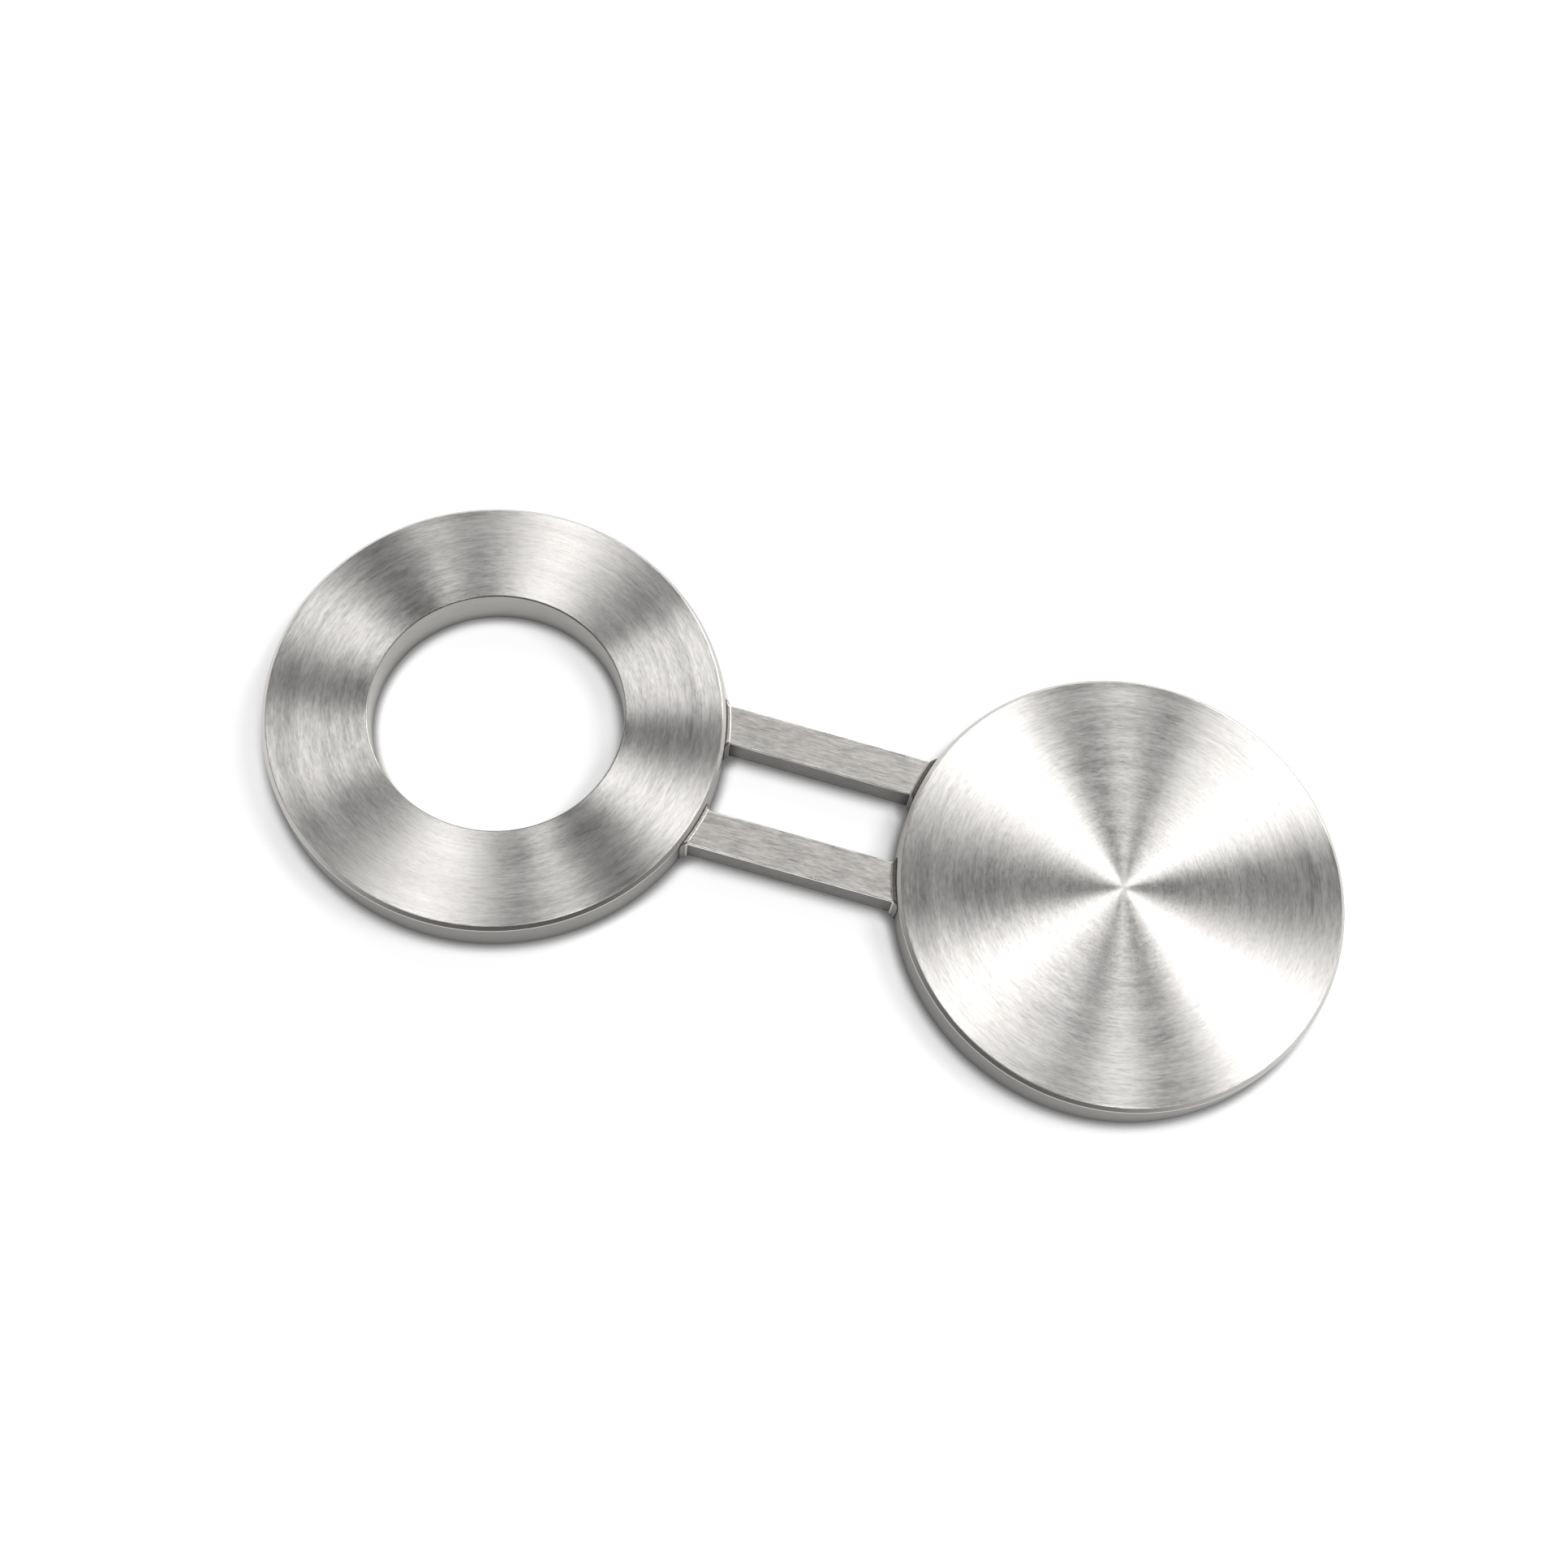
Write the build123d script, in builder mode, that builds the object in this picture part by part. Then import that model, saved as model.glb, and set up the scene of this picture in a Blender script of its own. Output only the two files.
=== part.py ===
"""Spectacle blind (figure-8 line blank), a welded steel fabrication.

An open spacer ring and a solid blind disc of the same outside size lie side by
side in one plane. Two parallel flat tie bars run from rim to rim, set in from
both faces, and each bar end is welded all round with a small dressed bead.

Frame: origin in the bottom face plane, midway between the two disc centres;
+X runs from the spacer ring to the blind disc, +Z is normal to the faces.
"""

from build123d import *
from math import sqrt
import os

# ---------------------------------------------------------------- plates
face_diameter = 190.0       # outside diameter of the ring and of the disc
bore_diameter = 105.0       # open bore of the spacer ring
plate_thickness = 20.0      # both plates
centre_distance = 270.0     # ring axis to disc axis
rim_chamfer = 1.8           # outer corners of both plates, 45 degrees
bore_chamfer = 0.5          # broken edge at each end of the bore

# ---------------------------------------------------------------- tie bars
bar_width = 17.0            # across the bar, in plan
stud_gap = 31.0             # clear gap between the bars, for one flange stud
bar_setback = 3.0           # bar faces below the plates' faces, top and bottom
bar_edge_radius = 0.6       # rolled corner along the bar

# ---------------------------------------------------------------- weld beads
bead_leg = 2.0              # from the rim, along the bar
bead_side_leg = 2.6         # from the bar's side, along the rim
bead_toe = 0.55             # step left at the bead's outer edge
bead_to_chamfer = 0.1       # plain rim left between the bead and the chamfer

# ---------------------------------------------------------------- derived
rim_radius = face_diameter / 2
ring_x = -centre_distance / 2
disc_x = centre_distance / 2
mid_z = plate_thickness / 2
bar_thickness = plate_thickness - 2 * bar_setback
bar_y = (stud_gap + bar_width) / 2
bead_rise = bar_setback - rim_chamfer - bead_to_chamfer
bead_half_height = bar_thickness / 2 + bead_rise
bead_toe_height = bar_thickness / 2 + bead_toe
bead_radius = rim_radius + bead_leg
ring_axis = Axis((ring_x, 0, 0), (0, 0, 1))


def ring_chord_x(radius, y):
    """X of the circle of this radius about the ring's axis, on the side of the bars."""
    return ring_x + sqrt(radius**2 - y**2)


os.makedirs("parts", exist_ok=True)

# Open ring: the line runs through its bore when this end is swung in.
with BuildPart() as spacer_ring:
    with BuildSketch(Plane.XY):
        with Locations((ring_x, 0)):
            Circle(rim_radius)
            Circle(bore_diameter / 2, mode=Mode.SUBTRACT)
    extrude(amount=plate_thickness)
    by_radius = edges().filter_by(GeomType.CIRCLE).group_by(SortBy.RADIUS)
    chamfer(by_radius[-1], length=rim_chamfer)
    chamfer(by_radius[0], length=bore_chamfer)

# Solid disc: shuts the line when this end is swung in.
with BuildPart() as blind_disc:
    with BuildSketch(Plane.XY):
        with Locations((disc_x, 0)):
            Circle(rim_radius)
    extrude(amount=plate_thickness)
    chamfer(edges().filter_by(GeomType.CIRCLE), length=rim_chamfer)

# Flat bar on the -Y side, its ends coped to seat on both rims.
with BuildPart() as tie_bar_front:
    with BuildSketch(Plane.YZ.offset(ring_x)):
        with Locations((-bar_y, mid_z)):
            RectangleRounded(bar_width, bar_thickness, bar_edge_radius)
    extrude(amount=centre_distance)
    with BuildSketch(Plane.XY):
        with Locations((ring_x, 0), (disc_x, 0)):
            Circle(rim_radius)
    extrude(amount=plate_thickness, mode=Mode.SUBTRACT)

# Its twin on the +Y side.
with BuildPart() as tie_bar_back:
    mirror(tie_bar_front.part, about=Plane.XZ)

# Bead round the front bar's end on the ring. Its section is turned about the
# ring's axis, so it follows the rim; the plan outline then tapers it from the
# rim to the bar's sides, and the bar's own shape is taken out of it.
with BuildPart() as weld_ring_front:
    with BuildSketch(Plane.XZ):
        with BuildLine():
            Polyline(
                (ring_x + rim_radius, mid_z - bead_half_height),
                (ring_x + bead_radius, mid_z - bead_toe_height),
                (ring_x + bead_radius, mid_z + bead_toe_height),
                (ring_x + rim_radius, mid_z + bead_half_height),
                close=True,
            )
        make_face()
    revolve(axis=ring_axis)
    inner_side, outer_side = -stud_gap / 2, -stud_gap / 2 - bar_width
    inner_root, outer_root = inner_side + bead_side_leg, outer_side - bead_side_leg
    with BuildSketch(Plane.XY.offset(mid_z - bead_half_height)):
        with BuildLine():
            Polyline(
                (ring_chord_x(bead_radius, inner_side) + bead_leg, inner_side),
                (ring_chord_x(bead_radius, inner_side), inner_side),
                (ring_chord_x(rim_radius, inner_root), inner_root),
                (ring_x, inner_root),
                (ring_x, outer_root),
                (ring_chord_x(rim_radius, outer_root), outer_root),
                (ring_chord_x(bead_radius, outer_side), outer_side),
                (ring_chord_x(bead_radius, inner_side) + bead_leg, outer_side),
                close=True,
            )
        make_face()
    extrude(amount=2 * bead_half_height, mode=Mode.INTERSECT)
    add(tie_bar_front.part, mode=Mode.SUBTRACT)

# The other three beads are its mirror images.
with BuildPart() as weld_ring_back:
    mirror(weld_ring_front.part, about=Plane.XZ)

with BuildPart() as weld_disc_front:
    mirror(weld_ring_front.part, about=Plane.YZ)

with BuildPart() as weld_disc_back:
    mirror(weld_disc_front.part, about=Plane.XZ)

# ---------------------------------------------------------------- export
spacer_ring.part.label = "spacer_ring"
blind_disc.part.label = "blind_disc"
tie_bar_front.part.label = "tie_bar_front"
tie_bar_back.part.label = "tie_bar_back"
weld_ring_front.part.label = "weld_ring_front"
weld_ring_back.part.label = "weld_ring_back"
weld_disc_front.part.label = "weld_disc_front"
weld_disc_back.part.label = "weld_disc_back"

export_step(spacer_ring.part, "parts/spacer_ring.step")
export_step(blind_disc.part, "parts/blind_disc.step")
export_step(tie_bar_front.part, "parts/tie_bar_front.step")
export_step(tie_bar_back.part, "parts/tie_bar_back.step")
export_step(weld_ring_front.part, "parts/weld_ring_front.step")
export_step(weld_ring_back.part, "parts/weld_ring_back.step")
export_step(weld_disc_front.part, "parts/weld_disc_front.step")
export_step(weld_disc_back.part, "parts/weld_disc_back.step")
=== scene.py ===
"""Looks of the spectacle blind: turned ring and disc, mill-finish tie bars, dressed weld beads."""

import logging
import math
from dataclasses import dataclass, field
from enum import Enum
from typing import Any, Sequence, Union

import bpy
import bmesh
import numpy as np
from mathutils import Matrix, Vector


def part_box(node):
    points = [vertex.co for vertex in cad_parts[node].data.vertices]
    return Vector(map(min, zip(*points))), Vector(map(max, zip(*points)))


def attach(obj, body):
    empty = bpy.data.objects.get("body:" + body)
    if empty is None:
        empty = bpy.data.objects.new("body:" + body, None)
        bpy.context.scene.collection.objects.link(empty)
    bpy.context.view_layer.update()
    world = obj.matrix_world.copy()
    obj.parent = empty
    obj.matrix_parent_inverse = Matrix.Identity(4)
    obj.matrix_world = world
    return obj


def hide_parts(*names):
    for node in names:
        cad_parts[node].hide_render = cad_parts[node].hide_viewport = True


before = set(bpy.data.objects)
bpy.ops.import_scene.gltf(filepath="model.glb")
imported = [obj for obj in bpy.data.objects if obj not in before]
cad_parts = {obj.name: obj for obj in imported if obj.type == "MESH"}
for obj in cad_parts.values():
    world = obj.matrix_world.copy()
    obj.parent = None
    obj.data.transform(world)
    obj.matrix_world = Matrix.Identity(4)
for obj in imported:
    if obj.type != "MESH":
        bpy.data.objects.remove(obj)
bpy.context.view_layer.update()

logging.basicConfig(level=logging.INFO, format="%(message)s")
LOG = logging.getLogger("spectacle_blind")

MM = 0.001
Colour = tuple[float, float, float]
Value = Union["Socket", float, int, Sequence[float]]


class End(Enum):
    """The two ends of the figure 8, by the sign of their X."""

    RING = -1
    DISC = 1


class Side(Enum):
    """The two tie bars, by the sign of their Y."""

    FRONT = -1
    BACK = 1


# ------------------------------------------------------------------ shader maths


class Socket:
    """An output of a shader node that Python arithmetic can work with."""

    def __init__(self, graph: "Graph", link: bpy.types.NodeSocket) -> None:
        """Keep the node output and the graph that it belongs to."""
        self.graph = graph
        self.link = link

    def math(self, operation: str, *others: Value) -> "Socket":
        """Run one Math node on this value and the others.

        Args:
            operation: the Math node's operation.
            others: its further inputs.

        Returns:
            The node's output.
        """
        return self.graph.node("ShaderNodeMath", dict(enumerate((self, *others))), operation=operation)

    def __add__(self, other: Value) -> "Socket":
        """Sum."""
        return self.math("ADD", other)

    def __sub__(self, other: Value) -> "Socket":
        """Difference."""
        return self.math("SUBTRACT", other)

    def __rsub__(self, other: Value) -> "Socket":
        """Difference from a number."""
        return self.math("MULTIPLY", -1.0).math("ADD", other)

    def __mul__(self, other: Value) -> "Socket":
        """Product."""
        return self.math("MULTIPLY", other)

    def __truediv__(self, other: Value) -> "Socket":
        """Quotient."""
        return self.math("DIVIDE", other)

    def __abs__(self) -> "Socket":
        """Absolute value."""
        return self.math("ABSOLUTE")

    def sqrt(self) -> "Socket":
        """Square root."""
        return self.math("SQRT")

    def ramp(self, low: float, high: float) -> "Socket":
        """Smooth step, 0 below low and 1 above high.

        Args:
            low: value at which the step starts.
            high: value at which it ends.

        Returns:
            The stepped value.
        """
        return self.graph.node(
            "ShaderNodeMapRange",
            {"Value": self, "From Min": low, "From Max": high},
            interpolation_type="SMOOTHSTEP",
        )


class Graph:
    """A node tree that is written as Python expressions."""

    def __init__(self, tree: bpy.types.NodeTree) -> None:
        """Start on an emptied node tree."""
        self.tree = tree
        tree.nodes.clear()

    def node(self, kind: str, inputs: dict[Any, Value] | None = None, out: Any = 0, **props: Any) -> Socket:
        """Add one node, set its properties and fill its inputs.

        Args:
            kind: the node's type name.
            inputs: input name or number to a value or a socket.
            out: which output to return.
            props: properties set before the inputs.

        Returns:
            The chosen output.
        """
        made = self.tree.nodes.new(kind)
        for name, value in props.items():
            setattr(made, name, value)
        for key, value in (inputs or {}).items():
            if isinstance(value, Socket):
                self.tree.links.new(value.link, made.inputs[key])
            else:
                made.inputs[key].default_value = value
        return Socket(self, made.outputs[out])

    def surface(self, shader: Socket) -> None:
        """Send a shader to the tree's output."""
        world = shader.link.node.type == "BACKGROUND"
        output = self.tree.nodes.new("ShaderNodeOutputWorld" if world else "ShaderNodeOutputMaterial")
        self.tree.links.new(shader.link, output.inputs["Surface"])

    def vector(self, x: Value, y: Value, z: Value) -> Socket:
        """Join three values into a vector."""
        return self.node("ShaderNodeCombineXYZ", {0: x, 1: y, 2: z})

    def split(self, vector: Socket) -> tuple[Socket, Socket, Socket]:
        """Take a vector apart into its three values."""
        first = self.node("ShaderNodeSeparateXYZ", {0: vector})
        outputs = first.link.node.outputs
        return first, Socket(self, outputs[1]), Socket(self, outputs[2])

    def blend(self, factor: Value, low: Value, high: Value) -> Socket:
        """Mix two colours by a factor."""
        return self.node("ShaderNodeMix", {0: factor, 6: low, 7: high}, out=2, data_type="RGBA")

    def noise(self, vector: Socket, scale: float, detail: float = 2.0, rough: float = 0.5) -> Socket:
        """Fractal noise of a vector, about 0.5 on average."""
        return self.node(
            "ShaderNodeTexNoise", {"Vector": vector, "Scale": scale, "Detail": detail, "Roughness": rough}
        )

    def bump(self, height: Socket, distance: float) -> Socket:
        """Normal that a height in units of distance gives."""
        return self.node("ShaderNodeBump", {"Height": height, "Distance": distance, "Strength": 1.0})

    def shade(self, colour: Colour, tone: Socket) -> Socket:
        """Lighten and darken a colour by a tone that is 1 on average."""
        return self.node("ShaderNodeVectorMath", {0: colour, "Scale": tone}, operation="SCALE")


def rgba(colour: Colour) -> tuple[float, float, float, float]:
    """Opaque colour for a colour socket."""
    return (*colour, 1.0)


def place(graph: Graph, centre: tuple[float, float, float]) -> tuple[Socket, Socket, Socket]:
    """Object coordinates measured from a centre, in metres."""
    coords = graph.node("ShaderNodeTexCoord", out="Object")
    moved = graph.node("ShaderNodeMapping", {"Vector": coords, "Location": tuple(-c for c in centre)})
    return graph.split(moved)


# ------------------------------------------------------------------ finishes


@dataclass(frozen=True)
class Finish:
    """What every steel finish has: a name, a colour, a roughness and a lay."""

    name: str
    colour: Colour
    roughness: float
    anisotropy: float = 0.0

    def pattern(self, graph: Graph) -> dict[str, Value]:
        """Inputs of the shader that vary over the surface."""
        raise NotImplementedError

    def material(self) -> bpy.types.Material:
        """Make the material.

        Returns:
            A metal material with this finish's pattern.
        """
        made = bpy.data.materials.new(self.name)
        made.use_nodes = True
        graph = Graph(made.node_tree)
        inputs: dict[str, Value] = {
            "Base Color": rgba(self.colour),
            "Metallic": 1.0,
            "Roughness": self.roughness,
            "Anisotropic": self.anisotropy,
            "Anisotropic Rotation": 0.25,
        }
        inputs.update(self.pattern(graph))
        graph.surface(graph.node("ShaderNodeBsdfPrincipled", inputs))
        return made


@dataclass(frozen=True)
class TurnedSteel(Finish):
    """Face-turned steel: fine rings and broken arcs about the plate's own axis."""

    centre: tuple[float, float, float] = (0.0, 0.0, 0.0)
    pitch: float = 0.9 * MM
    lay_depth: float = 0.032 * MM
    contrast: float = 0.30
    wear: float = 1.0

    def pattern(self, graph: Graph) -> dict[str, Value]:
        """Rings, arcs and soft mottling.

        The noise is read at (cos a, sin a) times a small number and at the radius times a
        large one, so its grains are drawn out round the axis and stay thin across it.
        """
        x, y, z = place(graph, self.centre)
        radius = (x * x + y * y).sqrt() + 1e-5
        ray_x, ray_y = x / radius, y / radius
        across = radius + z

        def lay(breaks: float, widths: float, detail: float, rough: float = 0.5) -> Socket:
            """Noise broken up so many times round the axis, and so many pitches wide across it."""
            grain = graph.vector(ray_x * breaks, ray_y * breaks, across / (self.pitch * widths))
            return graph.noise(grain, 1.0, detail, rough)

        fine = lay(1.2, 1.0, 3.0, 0.6)
        arcs = lay(7.0, 1.7, 4.0, 0.65)
        bands = lay(0.6, 7.0, 2.0)
        mottle = graph.noise(graph.vector(x, y, z), 38.0, 3.0)
        nick = lay(22.0, 0.6, 2.0, 0.6)
        scratch = (nick.ramp(0.62, 0.70) - nick.ramp(0.64, 0.72) * 0.3) * self.wear
        tone = (fine - 0.5) * 0.6 + (arcs - 0.5) * 1.3 + (nick - 0.5) * self.wear * 1.2
        tone = tone + (bands - 0.5) * 0.6 + (mottle - 0.5) * 0.35
        tone = tone * self.contrast * 2.0 + 1.0 - scratch * 0.15
        base = graph.shade(self.colour, tone)
        rough = ((arcs - 0.5) * 0.22 + (bands - 0.5) * 0.16) * self.wear + self.roughness
        height = (fine * 0.7 + arcs * 0.8 + nick * 0.8 - scratch * 0.5) * self.wear
        return {"Base Color": base, "Roughness": rough, "Normal": graph.bump(height, self.lay_depth)}


@dataclass(frozen=True)
class MillSteel(Finish):
    """Flat bar as rolled and wiped: a dull grain along the bar with soft blotches."""

    relief: float = 0.14 * MM

    def pattern(self, graph: Graph) -> dict[str, Value]:
        """Grain and fibre drawn out along X, and blotches."""
        x, y, z = place(graph, (0.0, 0.0, 0.0))
        grain = graph.noise(graph.vector(x * 35.0, y * 900.0, z * 900.0), 1.0, 4.0, 0.6)
        blotch = graph.noise(graph.vector(x * 90.0, y * 170.0, z * 170.0), 1.0, 4.0, 0.6)
        fibre = graph.noise(graph.vector(x * 220.0, y * 1500.0, z * 1500.0), 1.0, 3.0, 0.6)
        tone = (grain - 0.5) * 0.55 + (blotch - 0.5) * 0.50 + (fibre - 0.5) * 1.30 + 1.0
        base = graph.shade(self.colour, tone)
        rough = (blotch - 0.5) * 0.25 + (grain - 0.5) * 0.15 + self.roughness
        height = grain * 0.5 + blotch * 0.6 + fibre
        return {"Base Color": base, "Roughness": rough, "Normal": graph.bump(height, self.relief)}


@dataclass(frozen=True)
class WeldSteel(Finish):
    """Dressed weld metal: painted shade at the rim, a dull brown band and a painted highlight at the toe."""

    # The first colour paints shade at the rim, the second paints a highlight at the toe.
    painted_crease_shade: Colour = (0.05, 0.045, 0.04)
    toe: Colour = (0.76, 0.75, 0.735)
    rim_radius: float = field(kw_only=True)
    centre_x: float = field(kw_only=True)
    reach: float = field(kw_only=True)

    def pattern(self, graph: Graph) -> dict[str, Value]:
        """Painted shade, band, painted highlight by distance to the nearest rim, with dressing marks."""
        x, y, z = place(graph, (0.0, 0.0, 0.0))
        off = abs(x) - self.centre_x
        out = ((off * off + y * y).sqrt() - self.rim_radius) / self.reach
        spots = graph.noise(graph.vector(x, y, z), 900.0, 3.0, 0.6)
        # Painted shade darkens the bead at the rim; a painted highlight lightens it near the toe.
        base = graph.blend(out.ramp(0.08, 0.32), rgba(self.painted_crease_shade), rgba(self.colour))
        base = graph.blend((out + (spots - 0.5) * 0.1).ramp(0.72, 0.88), base, rgba(self.toe))
        rough = (spots - 0.5) * 0.3 + self.roughness
        return {"Base Color": base, "Roughness": rough, "Normal": graph.bump(spots, 0.06 * MM)}


# ------------------------------------------------------------------ surfaces


def rounded_outline(corners: np.ndarray, radii: np.ndarray, steps: int, closed: bool = True) -> np.ndarray:
    """Round every corner of a flat outline.

    A corner is left by the curve (1-t)^2 A + 2t(1-t) C + t^2 B, where C is the corner and A
    and B lie one radius from it along its two edges. A point just outside A and B keeps the
    straight runs flat under smooth shading.

    Args:
        corners: n by 2 corner points in order.
        radii: n set-back distances; 0 keeps a corner sharp.
        steps: points on each rounded corner.
        closed: whether the last corner joins the first.

    Returns:
        m by 2 points.
    """
    before = np.roll(corners, 1, axis=0) - corners
    after = np.roll(corners, -1, axis=0) - corners
    before /= np.linalg.norm(before, axis=1, keepdims=True)
    after /= np.linalg.norm(after, axis=1, keepdims=True)
    set_back = radii[:, None]
    start, end = corners + before * set_back, corners + after * set_back
    t = np.linspace(0.0, 1.0, steps)[None, :, None]
    arc = (1 - t) ** 2 * start[:, None] + 2 * t * (1 - t) * corners[:, None] + t**2 * end[:, None]
    guard_in = (corners + before * set_back * 1.5)[:, None]
    guard_out = (corners + after * set_back * 1.5)[:, None]
    points = np.concatenate([guard_in, arc, guard_out], axis=1)
    if not closed:
        points[0], points[-1] = corners[0], corners[-1]
    return points.reshape(-1, 2)


def tube_faces(rows: int, columns: int, wrap_rows: bool) -> np.ndarray:
    """Quads of a grid whose columns always wrap and whose rows may.

    Vertex (i, j) has number i * columns + j, and a quad joins (i, j), (i, j+1), (i+1, j+1)
    and (i+1, j), with i and j taken round where they wrap.

    Args:
        rows: vertices along the first parameter.
        columns: vertices along the second parameter.
        wrap_rows: whether the last row joins the first.

    Returns:
        Quads as an array of four vertex numbers.
    """
    i, j = np.meshgrid(np.arange(rows if wrap_rows else rows - 1), np.arange(columns), indexing="ij")
    i, j = i.ravel(), j.ravel()
    i2, j2 = (i + 1) % rows, (j + 1) % columns
    return np.stack([i * columns + j, i * columns + j2, i2 * columns + j2, i2 * columns + j], axis=1)


def build_piece(
    name: str,
    points: np.ndarray,
    quads: np.ndarray,
    tris: np.ndarray,
    materials: Sequence[bpy.types.Material],
    slots: np.ndarray,
) -> bpy.types.Object:
    """Put vertices and faces into a smooth closed mesh object at the origin.

    Args:
        name: the object's name.
        points: vertices in metres.
        quads: four-cornered faces.
        tris: three-cornered faces, which follow the quads.
        materials: the object's materials in slot order.
        slots: material slot of each face, quads first.

    Returns:
        The object, linked to the scene, with its faces pointing outwards.
    """
    mesh = bpy.data.meshes.new(name)
    mesh.from_pydata(points.tolist(), [], quads.tolist() + tris.tolist())
    for material in materials:
        mesh.materials.append(material)
    mesh.polygons.foreach_set("material_index", slots.astype(np.int32))
    mesh.polygons.foreach_set("use_smooth", np.ones(len(slots), dtype=bool))
    shell = bmesh.new()
    shell.from_mesh(mesh)
    bmesh.ops.recalc_face_normals(shell, faces=shell.faces)
    shell.to_mesh(mesh)
    shell.free()
    mesh.update()
    piece = bpy.data.objects.new(name, mesh)
    bpy.context.scene.collection.objects.link(piece)
    return piece


def deliver(piece: bpy.types.Object, node: str) -> None:
    """Let a piece stand for a CAD node on the one rigid body, and report it."""
    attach(piece, "root")
    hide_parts(node)
    LOG.info("%s stands for %s: %d faces", piece.name, node, len(piece.data.polygons))


# ------------------------------------------------------------------ the object


@dataclass
class Sizes:
    """Sizes shared by the pieces, read off the CAD nodes' boxes where a box gives them."""

    bore_radius: float = 52.5 * MM
    rim_chamfer: float = 1.8 * MM
    bore_chamfer: float = 0.5 * MM
    edge_radius: float = 0.22 * MM
    bead_leg: float = 2.0 * MM
    bead_side_leg: float = 2.6 * MM
    bead_rise: float = 1.1 * MM
    bead_toe: float = 0.55 * MM
    bar_edge_radius: float = 0.6 * MM
    rim_radius: float = field(init=False)
    centre_x: float = field(init=False)
    thickness: float = field(init=False)
    bar_y: float = field(init=False)
    bar_width: float = field(init=False)
    bar_thickness: float = field(init=False)

    def __post_init__(self) -> None:
        """Read the plates' and the bars' places and sizes."""
        low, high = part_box("blind_disc")
        self.rim_radius = (high[0] - low[0]) / 2
        self.centre_x = (low[0] + high[0]) / 2
        self.thickness = high[2]
        low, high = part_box("tie_bar_back")
        self.bar_y = (low[1] + high[1]) / 2
        self.bar_width = high[1] - low[1]
        self.bar_thickness = high[2] - low[2]


@dataclass
class Plate:
    """One end of the figure 8, a turned plate with or without a bore."""

    sizes: Sizes
    end: End
    around: int = 512
    corner_steps: int = 5
    hub_radius: float = 0.5 * MM

    def corners(self) -> tuple[np.ndarray, np.ndarray, np.ndarray]:
        """Half section from the bottom inner edge round by the rim to the top inner edge.

        Returns:
            Corner points as (radius, height), their rounding, and the finish slot of the
            run that leaves each corner: 0 face, 1 rim, 2 chamfer, 3 bore.
        """
        s = self.sizes
        rim, cut, top = s.rim_radius, s.rim_chamfer, s.thickness
        outer = [(rim - cut, 0.0), (rim, cut), (rim, top - cut), (rim - cut, top)]
        slots = [2, 1, 2, 0]
        if self.end is End.RING:
            bore, broken = s.bore_radius, s.bore_chamfer
            inner = [(bore + broken, top), (bore, top - broken), (bore, broken), (bore + broken, 0.0)]
            slots += [2, 3, 2, 0]
            radii = np.full(8, s.edge_radius)
            radii[4:] = s.edge_radius * 0.6
            return np.array(outer + inner), radii, np.array(slots)
        points = np.array([(self.hub_radius, 0.0), *outer, (self.hub_radius, top)])
        return points, np.array([0.0, *[s.edge_radius] * 4, 0.0]), np.array([0, *slots, 0])

    def build(self, materials: Sequence[bpy.types.Material]) -> bpy.types.Object:
        """Turn the half section about the plate's axis.

        A point at angle a and section point (r, h) is (cx + r cos a, r sin a, h). The disc's
        section stops at a tiny hub, which a fan of triangles closes on each face.

        Args:
            materials: finishes of the face, the rim, the chamfers and the bore.

        Returns:
            The closed plate.
        """
        corners, radii, slots = self.corners()
        steps = self.corner_steps
        closed = self.end is End.RING
        section = rounded_outline(corners, radii, steps, closed)
        centre = self.end.value * self.sizes.centre_x
        angle = np.linspace(0.0, 2 * np.pi, self.around, endpoint=False)[None, :]
        r, h = section[:, :1], section[:, 1:]
        points = np.stack([centre + r * np.cos(angle), r * np.sin(angle), h + 0 * angle], axis=-1)
        rows = len(section)
        quads = tube_faces(rows, self.around, wrap_rows=closed)
        corner_of = np.arange(rows if closed else rows - 1) // (steps + 2)
        face_slots = np.repeat(slots[corner_of], self.around)
        points = points.reshape(-1, 3)
        tris = np.zeros((0, 3), dtype=int)
        if not closed:
            hubs = np.array([(centre, 0.0, 0.0), (centre, 0.0, self.sizes.thickness)])
            first = np.arange(self.around)
            ahead = (first + 1) % self.around
            last = (rows - 1) * self.around
            bottom = np.stack([first, ahead, np.full(self.around, len(points))], axis=1)
            top = np.stack([first + last, ahead + last, np.full(self.around, len(points) + 1)], axis=1)
            tris = np.concatenate([bottom, top])
            points = np.concatenate([points, hubs])
            face_slots = np.concatenate([face_slots, np.zeros(len(tris), dtype=int)])
        name = "turned_ring" if self.end is End.RING else "turned_disc"
        return build_piece(name, points, quads, tris, materials, face_slots)


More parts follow.
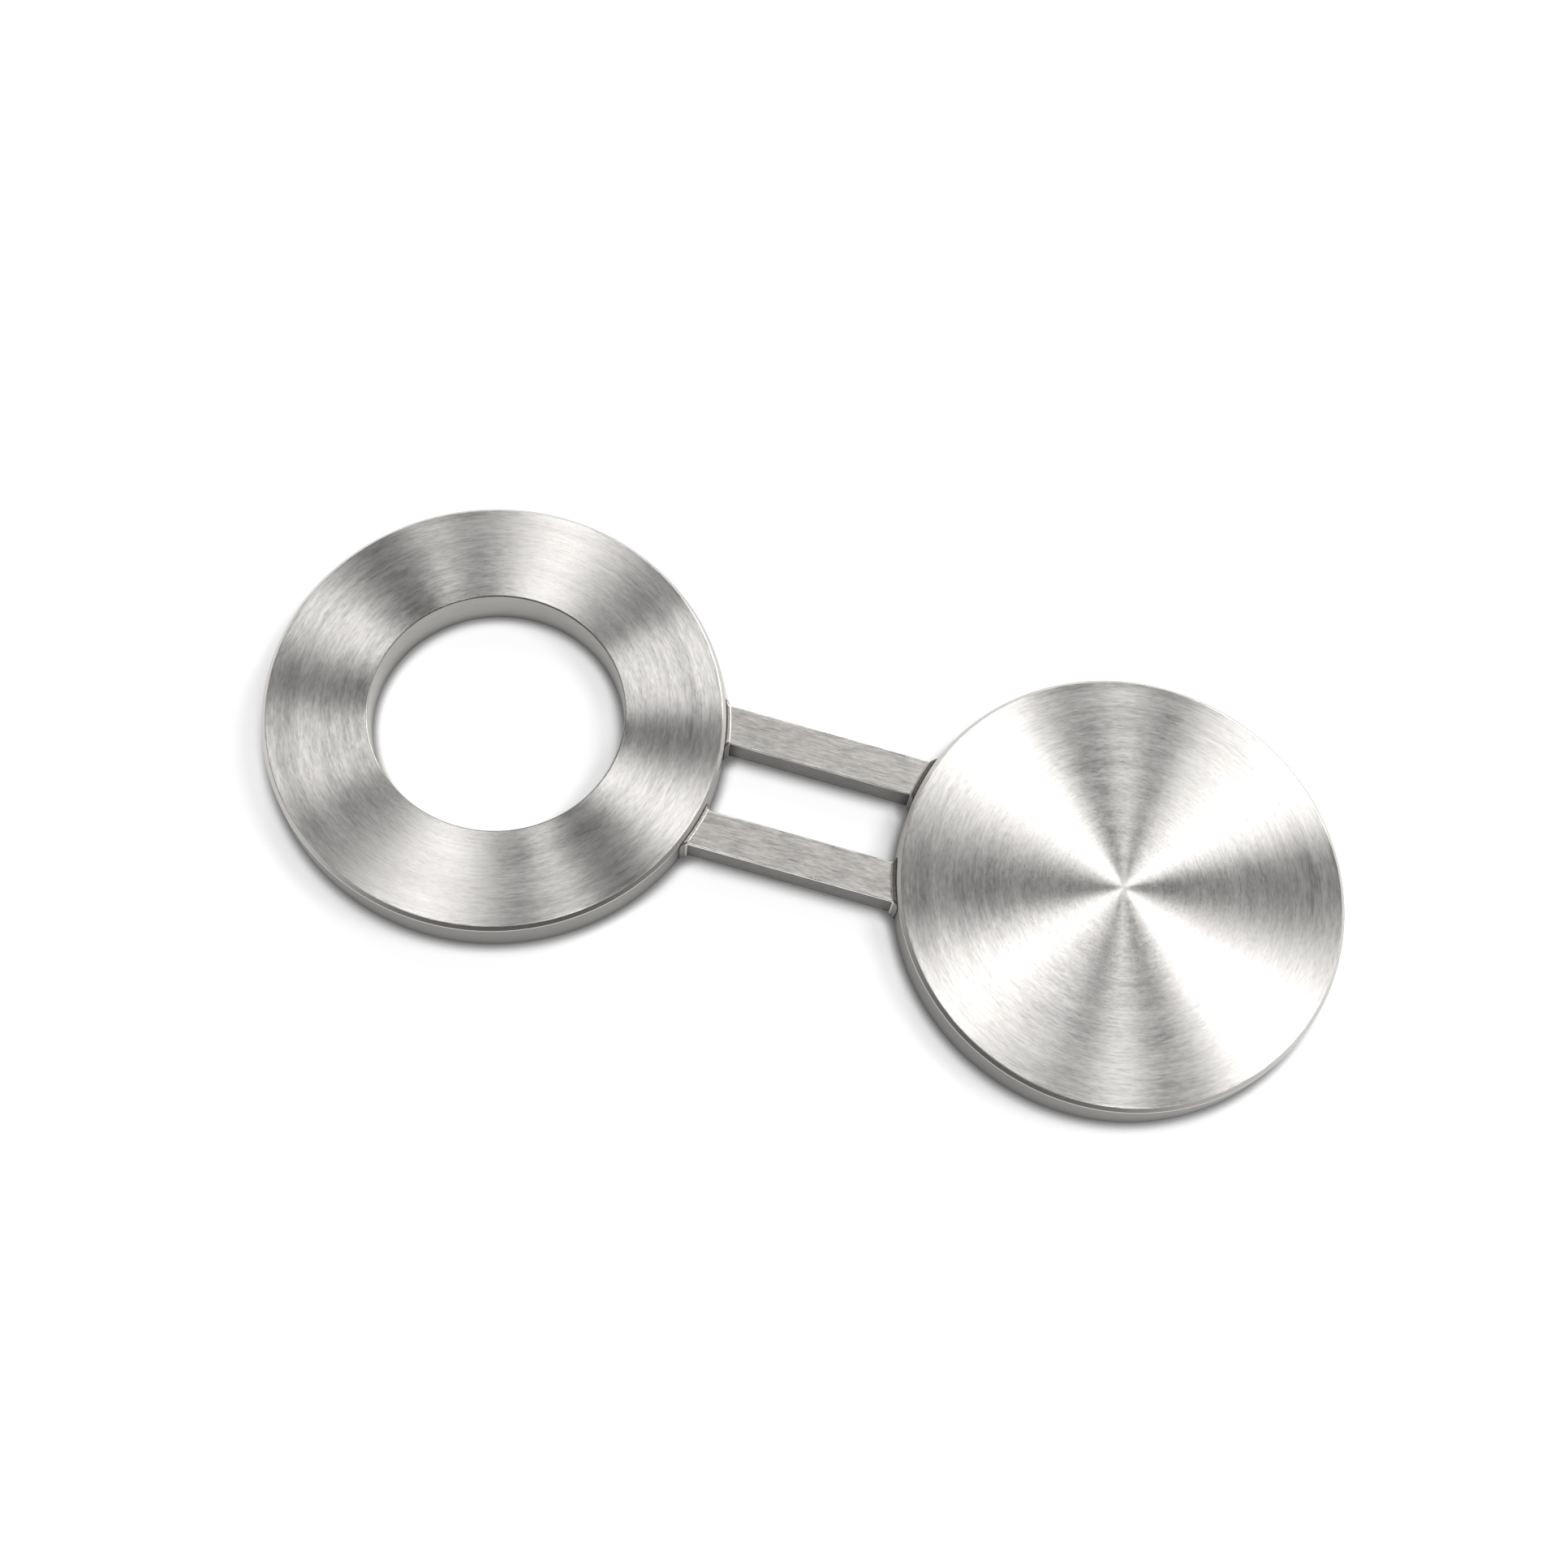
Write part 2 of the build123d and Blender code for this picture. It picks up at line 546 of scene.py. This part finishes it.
@dataclass
class TieBar:
    """One flat tie bar with coped ends and its two weld beads."""

    sizes: Sizes
    side: Side
    along: int = 40

    def section(self) -> np.ndarray:
        """Outline of the bar across its length, as (y, z), with rounded corners."""
        s = self.sizes
        half_w, half_t = s.bar_width / 2, s.bar_thickness / 2
        corners = np.array([(-half_w, -half_t), (half_w, -half_t), (half_w, half_t), (-half_w, half_t)])
        outline = rounded_outline(corners, np.full(4, s.bar_edge_radius * 1.3), 6)
        return outline + np.array([self.side.value * s.bar_y, s.thickness / 2])

    def reach(self, y: np.ndarray, radius: float) -> np.ndarray:
        """Half length between the two circles of this radius at a given y.

        It is the plates' centre distance to the middle, less the root of radius^2 - y^2.
        """
        return self.sizes.centre_x - np.sqrt(radius**2 - y**2)

    def build(self, materials: Sequence[bpy.types.Material]) -> bpy.types.Object:
        """Carry the section from rim to rim.

        A section point (y, z) at parameter u lies at x = (2u - 1) times the half length at
        that y, so the ends follow the rims. A fan closes each end.

        Args:
            materials: finishes of the flats, thin sides with painted shade, corners with painted highlight.

        Returns:
            The closed bar.
        """
        outline = self.section()
        count = len(outline)
        u = np.linspace(-1.0, 1.0, self.along)[:, None]
        x = u * self.reach(outline[:, 0], self.sizes.rim_radius)[None, :]
        points = np.stack([x, outline[:, 0] + 0 * x, outline[:, 1] + 0 * x], axis=-1).reshape(-1, 3)
        middle = self.side.value * self.sizes.bar_y
        tip = float(self.reach(np.array(middle), self.sizes.rim_radius))
        caps = np.array([(-tip, middle, self.sizes.thickness / 2), (tip, middle, self.sizes.thickness / 2)])
        first = np.arange(count)
        ahead = (first + 1) % count
        last = (self.along - 1) * count
        tris = np.concatenate(
            [
                np.stack([first, ahead, np.full(count, len(points))], axis=1),
                np.stack([first + last, ahead + last, np.full(count, len(points) + 1)], axis=1),
            ]
        )
        quads = tube_faces(self.along, count, wrap_rows=False)
        run = np.abs(np.roll(outline, -1, axis=0) - outline)
        kind = np.where(run[:, 0] < 1e-7, 1, np.where(run[:, 1] < 1e-7, 0, 2))
        slots = np.concatenate([np.tile(kind, self.along - 1), np.ones(len(tris), dtype=int)])
        name = f"bar_{self.side.name.lower()}"
        return build_piece(name, np.concatenate([points, caps]), quads, tris, materials, slots)

    def build_bead(self, end: End, materials: Sequence[bpy.types.Material]) -> bpy.types.Object:
        """Run the weld bead round the bar's end.

        At each point of the bar's outline, with outward normal n, the bead's section goes
        from the rim, a rise away along n, over a slightly full curve to its toe on the bar,
        down to the bar and back along it to the rim. The rise and the toe grow from their
        top values to their side values with the square of n's sideways part.

        Args:
            end: which plate the bead joins.
            materials: the bead's finish.

        Returns:
            The closed ring of weld metal.
        """
        s = self.sizes
        coarse = self.section()
        ring = np.concatenate([coarse, coarse[:1]])
        run = np.concatenate([[0.0], np.cumsum(np.linalg.norm(np.diff(ring, axis=0), axis=1))])
        at = np.linspace(0.0, run[-1], 160, endpoint=False)
        outline = np.stack([np.interp(at, run, ring[:, k]) for k in (0, 1)], axis=1)
        ahead = np.roll(outline, -1, axis=0) - np.roll(outline, 1, axis=0)
        normal = np.stack([ahead[:, 1], -ahead[:, 0]], axis=1)
        normal /= np.linalg.norm(normal, axis=1, keepdims=True)
        sideways = normal[:, :1] ** 2
        ripple = 0.05 * MM * np.sin(at * 2 * np.pi / (2.3 * MM))[:, None]
        rise = s.bead_rise * (1 - sideways) + s.bead_side_leg * sideways
        toe = s.bead_toe * (1 - sideways) + 0.15 * MM * sideways
        t = np.linspace(0.0, 1.0, 7)[None, :]
        height = (1 - t) ** 2 * rise + 2 * t * (1 - t) * (0.62 * rise + 0.42 * toe) + t**2 * toe
        height = height + ripple * np.sin(np.pi * t)
        height = np.concatenate([height, 0 * rise, 0 * rise], axis=1)
        leg = np.concatenate([t[0], [1.0, 0.0]])[None, :] * s.bead_leg
        yz = outline[:, None, :] + normal[:, None, :] * height[:, :, None]
        plates = s.rim_radius + leg + 0 * height
        x = end.value * (s.centre_x - np.sqrt(plates**2 - yz[:, :, 0] ** 2))
        points = np.stack([x, yz[:, :, 0], yz[:, :, 1]], axis=-1)
        rows, columns = points.shape[:2]
        quads = tube_faces(rows, columns, wrap_rows=True)
        name = f"bead_{end.name.lower()}_{self.side.name.lower()}"
        none = np.zeros((0, 3), dtype=int)
        slots = np.zeros(len(quads), dtype=int)
        return build_piece(name, points.reshape(-1, 3), quads, none, materials, slots)


# ------------------------------------------------------------------ the studio


@dataclass(frozen=True)
class SoftLight:
    """A rectangular soft light that faces the object's middle."""

    name: str
    azimuth: float
    elevation: float
    distance: float
    width: float
    height: float
    watts: float

    def build(self) -> None:
        """Hang the light at its bearing and turn it to the origin."""
        lamp = bpy.data.lights.new(self.name, "AREA")
        lamp.shape = "RECTANGLE"
        lamp.size, lamp.size_y, lamp.energy = self.width, self.height, self.watts
        holder = bpy.data.objects.new(self.name, lamp)
        az, el = math.radians(self.azimuth), math.radians(self.elevation)
        level = math.cos(el)
        spot = Vector((math.cos(az) * level, math.sin(az) * level, math.sin(el))) * self.distance
        holder.location = spot
        holder.rotation_euler = spot.to_track_quat("Z", "Y").to_euler()
        bpy.context.scene.collection.objects.link(holder)


@dataclass(frozen=True)
class Viewpoint:
    """Where the camera stands, in degrees round its target, and its lens."""

    azimuth: float = -2.66
    elevation: float = 69.78
    roll: float = 18.22
    target: tuple[float, float, float] = (0.0292, -0.0141, 0.0)
    distance: float = 0.8701
    sensor: float = 36.0
    lens: float = 47.385
    shift: tuple[float, float] = (-0.0518, 0.0518)

    def build(self) -> None:
        """Place the camera at its bearing round a point near the middle, with its roll.

        Its back axis is the direction from the target to it; right and up are turned about
        that axis by the roll.
        """
        azimuth, elevation, roll = (math.radians(a) for a in (self.azimuth, self.elevation, self.roll))
        level = math.cos(elevation)
        back = Vector((math.sin(azimuth) * level, -math.cos(azimuth) * level, math.sin(elevation)))
        right = Vector((0.0, 0.0, 1.0)).cross(back).normalized()
        up = back.cross(right)
        turned_right = right * math.cos(roll) + up * math.sin(roll)
        turned_up = up * math.cos(roll) - right * math.sin(roll)
        data = bpy.data.cameras.new("camera")
        data.sensor_width = self.sensor
        data.lens = self.lens
        data.shift_x, data.shift_y = self.shift
        camera = bpy.data.objects.new("camera", data)
        turn = Matrix((turned_right, turned_up, back)).transposed().to_4x4()
        camera.matrix_world = Matrix.Translation(Vector(self.target) + back * self.distance) @ turn
        bpy.context.scene.collection.objects.link(camera)
        bpy.context.scene.camera = camera


@dataclass
class Studio:
    """Floor, surroundings, lights and camera."""

    viewpoint: Viewpoint = Viewpoint()
    lights: tuple[SoftLight, ...] = (
        SoftLight("light_back_right", 59.0, 26.0, 3.2, 1.5, 1.0, 58.0),
        SoftLight("light_right_high", 20.0, 58.0, 3.2, 1.0, 1.0, 28.0),
        SoftLight("light_back_strip", 106.0, 48.0, 3.2, 0.4, 1.0, 8.0),
        SoftLight("light_front_right", -49.0, 61.0, 3.2, 0.6, 0.8, 14.0),
        SoftLight("light_left_high", -151.0, 76.0, 3.2, 0.8, 0.8, 11.5),
    )
    floor_colour: Colour = (0.88, 0.88, 0.88)
    floor_lift: float = 0.50
    zenith: float = 0.09
    front: float = 0.05
    back: float = 0.40
    painted_shadow_reach: float = 6.5 * MM
    painted_shadow_depth: float = 0.20
    half_floor: float = 6.0
    floor_gap: float = 0.2 * MM

    def build_floor(self) -> None:
        """Lay the white floor: it glows where seen, more so far out, and has painted shadow at contacts."""
        mesh = bpy.data.meshes.new("floor")
        half, low = self.half_floor, -self.floor_gap
        corners = [(-half, -half, low), (half, -half, low), (half, half, low), (-half, half, low)]
        mesh.from_pydata(corners, [], [(0, 1, 2, 3)])
        made = bpy.data.materials.new("white_floor")
        made.use_nodes = True
        graph = Graph(made.node_tree)
        seen = self.seen(graph)
        # Painted shadow: ambient occlusion darkens the floor's colour and glow next to the object.
        open_sky = graph.node(
            "ShaderNodeAmbientOcclusion", {"Distance": self.painted_shadow_reach}, out="AO", samples=8
        )
        painted_contact_shadow = open_sky.ramp(0.45, 0.97) * (1.0 - self.painted_shadow_depth) + self.painted_shadow_depth
        matt = graph.node("ShaderNodeBsdfDiffuse", {"Color": graph.shade(self.floor_colour, painted_contact_shadow)})
        x, y, _ = place(graph, (0.0, 0.0, 0.0))
        far = (x * x + y * y).sqrt().ramp(0.5, 1.8) * (1.0 - self.floor_lift)
        glow = graph.node("ShaderNodeEmission", {"Strength": seen * (painted_contact_shadow * self.floor_lift + far)})
        graph.surface(graph.node("ShaderNodeAddShader", {0: matt, 1: glow}))
        mesh.materials.append(made)
        floor = bpy.data.objects.new("floor", mesh)
        bpy.context.scene.collection.objects.link(floor)

    def seen(self, graph: Graph) -> Socket:
        """1 for rays from the camera, from gloss and through glass, else 0."""
        path = graph.node("ShaderNodeLightPath")
        outputs = path.link.node.outputs
        glossy = Socket(graph, outputs["Is Glossy Ray"])
        through = Socket(graph, outputs["Is Transmission Ray"])
        return path.math("MAXIMUM", glossy).math("MAXIMUM", through)

    def build_world(self) -> None:
        """Surround the scene with a white skyline under a grey back, a dark front and a dim top."""
        world = bpy.data.worlds.new("surroundings")
        bpy.context.scene.world = world
        world.use_nodes = True
        graph = Graph(world.node_tree)
        toward = graph.node("ShaderNodeTexCoord", out="Generated")
        _, depth, height = graph.split(toward)
        middle = depth.ramp(-0.7, 0.7) * (self.back - self.front) + self.front
        upper = middle + (middle * -1.0 + self.zenith) * height.ramp(0.35, 0.75)
        level = upper + (upper * -1.0 + 1.0) * (1.0 - height.ramp(0.13, 0.24))
        graph.surface(graph.node("ShaderNodeBackground", {"Color": rgba((1.0, 1.0, 1.0)), "Strength": level}))

    def build(self) -> None:
        """Set up everything round the object."""
        self.build_floor()
        self.build_world()
        for light in self.lights:
            light.build()
        self.viewpoint.build()
        bpy.context.scene.view_settings.view_transform = "Standard"


@dataclass
class SpectacleBlind:
    """The whole blind: two turned plates, two tie bars and four weld beads."""

    sizes: Sizes
    steel: Colour = (0.84, 0.82, 0.795)

    def plate_finishes(self, end: End) -> list[bpy.types.Material]:
        """Finishes of one plate's face, rim, chamfers and bore, about that plate's axis."""
        centre = (end.value * self.sizes.centre_x, 0.0, 0.0)
        tag = end.name.lower()
        face = TurnedSteel(f"turned_face_{tag}", self.steel, 0.41, 1.0, centre)
        plain = {"contrast": 0.12, "wear": 0.15}
        # Painted shade: the rim and the bore are the face's steel with their colour made much darker.
        rim = TurnedSteel(f"turned_rim_painted_shade_{tag}", (0.24, 0.234, 0.223), 0.36, 0.50, centre, **plain)
        bore = TurnedSteel(f"turned_bore_painted_shade_{tag}", (0.38, 0.37, 0.355), 0.36, 0.50, centre, **plain)
        smooth = {"contrast": 0.05, "wear": 0.0}
        # Painted shade: the chamfers are the face's steel made darker, a dark line round each face.
        chamfer = TurnedSteel(f"turned_chamfer_painted_shade_{tag}", (0.50, 0.485, 0.465), 0.24, 0.0, centre, **smooth)
        finishes = (face, rim, chamfer, bore) if end is End.RING else (face, rim, chamfer)
        return [finish.material() for finish in finishes]

    def build(self) -> None:
        """Build every piece, dress it and set it in its node's place."""
        for end, node in ((End.RING, "spacer_ring"), (End.DISC, "blind_disc")):
            deliver(Plate(self.sizes, end).build(self.plate_finishes(end)), node)
        flat = MillSteel("mill_steel", (0.50, 0.485, 0.465), 0.55).material()
        # Painted highlight: the rounded corners are the bar's steel made paler.
        corner = MillSteel("mill_steel_corner_painted_highlight", (0.80, 0.78, 0.75), 0.30, relief=0.0).material()
        # Painted shade: the thin sides are the bar's steel made nearly black.
        side_painted_shade = MillSteel("mill_steel_side_painted_shade", (0.11, 0.107, 0.10), 0.30, relief=0.01 * MM).material()
        s = self.sizes
        bead = WeldSteel(
            "weld_steel",
            (0.23, 0.217, 0.20),
            0.38,
            rim_radius=s.rim_radius,
            centre_x=s.centre_x,
            reach=s.bead_leg,
        )
        weld = [bead.material()]
        for side in Side:
            bar = TieBar(self.sizes, side)
            deliver(bar.build([flat, side_painted_shade, corner]), f"tie_bar_{side.name.lower()}")
            for end in End:
                node = f"weld_{end.name.lower()}_{side.name.lower()}"
                deliver(bar.build_bead(end, weld), node)


def main() -> None:
    """Build the blind, then the studio round it."""
    SpectacleBlind(Sizes()).build()
    Studio().build()


if __name__ == "__main__":
    main()
